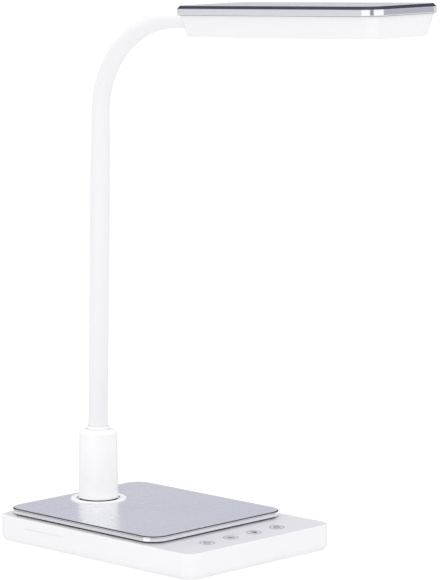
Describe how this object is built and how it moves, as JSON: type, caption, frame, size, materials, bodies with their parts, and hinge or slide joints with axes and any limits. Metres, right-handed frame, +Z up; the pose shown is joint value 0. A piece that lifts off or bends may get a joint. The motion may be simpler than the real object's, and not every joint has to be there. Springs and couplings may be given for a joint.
{
  "type": "led desk lamp",
  "caption": "Desk lamp with a flat touch-control base, metal deck, swivelling collar, flexible white neck and slim rectangular light head.",
  "frame": {"origin": "on the table, under the centre of the base", "axes": "+Z up, -Y towards the front edge with the touch keys, +X to the lamp's right"},
  "size_m": [0.154, 0.3461, 0.4197],
  "materials": {
    "white_plastic": "satin",
    "cover_plastic": "matte",
    "panel_gloss": "gloss",
    "print_grey": "matte",
    "foam_black": "matte",
    "brushed_aluminium": "brushed",
    "bright_edge": "polished",
    "steel": "satin",
    "ballast_steel": "matte",
    "circuit_green": "satin",
    "black_plastic": "satin",
    "contact_foil": "satin",
    "nylon": "matte",
    "rubber_grey": "matte",
    "sleeve_silicone": "satin",
    "diffuser_opal": "satin",
    "reflector_white": "matte",
    "board_white": "satin",
    "led_phosphor": "satin",
    "clamp_alloy": "satin"
  },
  "bodies": {
    "base": {"base_shell": "white_plastic", "bottom_cover": "cover_plastic", "rubber_pad": "rubber_grey", "cover_screws": "steel", "top_panel": "panel_gloss", "touch_icons": "print_grey", "deck_pad": "foam_black", "deck_carrier": "bright_edge", "deck_plate": "brushed_aluminium", "weight_plate": "ballast_steel", "main_board": "circuit_green", "dc_jack": "black_plastic", "touch_board": "circuit_green", "touch_pads": "contact_foil", "board_screws": "steel", "swivel_bezel": "white_plastic", "swivel_bush": "nylon"},
    "collar": {"swivel_hub": "steel", "hub_nut": "steel", "collar_sleeve": "white_plastic", "collar_cap": "white_plastic", "collar_screws": "steel", "neck_socket": "steel", "neck_core_01": "steel", "neck_skin_01": "sleeve_silicone"},
    "link_01": {"neck_core_02": "steel", "neck_skin_02": "sleeve_silicone"},
    "link_02": {"neck_core_03": "steel", "neck_skin_03": "sleeve_silicone"},
    "link_03": {"neck_core_04": "steel", "neck_skin_04": "sleeve_silicone"},
    "link_04": {"neck_core_05": "steel", "neck_skin_05": "sleeve_silicone"},
    "link_05": {"neck_core_06": "steel", "neck_skin_06": "sleeve_silicone"},
    "link_06": {"neck_core_07": "steel", "neck_skin_07": "sleeve_silicone"},
    "link_07": {"neck_core_08": "steel", "neck_skin_08": "sleeve_silicone"},
    "link_08": {"neck_core_09": "steel", "neck_skin_09": "sleeve_silicone"},
    "link_09": {"neck_core_10": "steel", "neck_skin_10": "sleeve_silicone"},
    "link_10": {"neck_core_11": "steel", "neck_skin_11": "sleeve_silicone"},
    "head": {"neck_core_12": "steel", "head_housing": "white_plastic", "head_band": "bright_edge", "head_plate": "brushed_aluminium", "diffuser": "diffuser_opal", "reflector": "reflector_white", "led_board": "board_white", "leds": "led_phosphor", "head_screws": "steel", "neck_clamp": "clamp_alloy", "clamp_screws": "steel"}
  },
  "joints": [
    {"name": "collar_swivel", "type": "hinge", "parent": "base", "child": "collar", "pos_m": [0, 0.0715, 0.022], "axis": [0, 0, 1], "range_deg": [-90, 90]},
    {"name": "lower_tilt_1", "type": "hinge", "parent": "collar", "child": "link_01", "pos_m": [0, 0.07115, 0.101], "axis": [1, 0, 0], "range_deg": [-10, 12], "deforming": ["neck_skin_01"]},
    {"name": "lower_lean_1", "type": "hinge", "parent": "link_01", "child": "link_02", "pos_m": [0, 0.07039, 0.14099], "axis": [0, 0.9998, 0.0192], "range_deg": [-10, 10], "deforming": ["neck_skin_02"]},
    {"name": "lower_tilt_2", "type": "hinge", "parent": "link_02", "child": "link_03", "pos_m": [0, 0.06962, 0.18098], "axis": [1, 0, 0], "range_deg": [-10, 12], "deforming": ["neck_skin_03"]},
    {"name": "lower_lean_2", "type": "hinge", "parent": "link_03", "child": "link_04", "pos_m": [0, 0.06885, 0.22098], "axis": [0, 0.9998, 0.0192], "range_deg": [-10, 10], "deforming": ["neck_skin_04"]},
    {"name": "lower_tilt_3", "type": "hinge", "parent": "link_04", "child": "link_05", "pos_m": [0, 0.06808, 0.26097], "axis": [1, 0, 0], "range_deg": [-10, 12], "deforming": ["neck_skin_05"]},
    {"name": "lower_lean_3", "type": "hinge", "parent": "link_05", "child": "link_06", "pos_m": [0, 0.06731, 0.30096], "axis": [0, 0.9998, 0.0192], "range_deg": [-10, 10], "deforming": ["neck_skin_06"]},
    {"name": "upper_curl_1", "type": "hinge", "parent": "link_06", "child": "link_07", "pos_m": [0, 0.06682, 0.32676], "axis": [1, 0, 0], "range_deg": [-14, 5], "deforming": ["neck_skin_07"]},
    {"name": "upper_curl_2", "type": "hinge", "parent": "link_07", "child": "link_08", "pos_m": [0, 0.06247, 0.34948], "axis": [1, 0, 0], "range_deg": [-14, 5], "deforming": ["neck_skin_08"]},
    {"name": "upper_curl_3", "type": "hinge", "parent": "link_08", "child": "link_09", "pos_m": [0, 0.05081, 0.36947], "axis": [1, 0, 0], "range_deg": [-14, 5], "deforming": ["neck_skin_09"]},
    {"name": "upper_curl_4", "type": "hinge", "parent": "link_09", "child": "link_10", "pos_m": [0, 0.0223, 0.39174], "axis": [1, 0, 0], "range_deg": [-14, 5], "deforming": ["neck_skin_10"]},
    {"name": "upper_curl_5", "type": "hinge", "parent": "link_10", "child": "head", "pos_m": [0, -0.0128, 0.40049], "axis": [1, 0, 0], "range_deg": [-14, 5], "deforming": ["neck_skin_11"]}
  ],
  "couplings": [
    {"joint": "lower_tilt_2", "follows": "lower_tilt_1", "ratio": 1},
    {"joint": "lower_lean_2", "follows": "lower_lean_1", "ratio": 1},
    {"joint": "lower_tilt_3", "follows": "lower_tilt_1", "ratio": 1},
    {"joint": "lower_lean_3", "follows": "lower_lean_1", "ratio": 1},
    {"joint": "upper_curl_2", "follows": "upper_curl_1", "ratio": 1},
    {"joint": "upper_curl_3", "follows": "upper_curl_1", "ratio": 1},
    {"joint": "upper_curl_4", "follows": "upper_curl_1", "ratio": 1},
    {"joint": "upper_curl_5", "follows": "upper_curl_1", "ratio": 1}
  ]
}
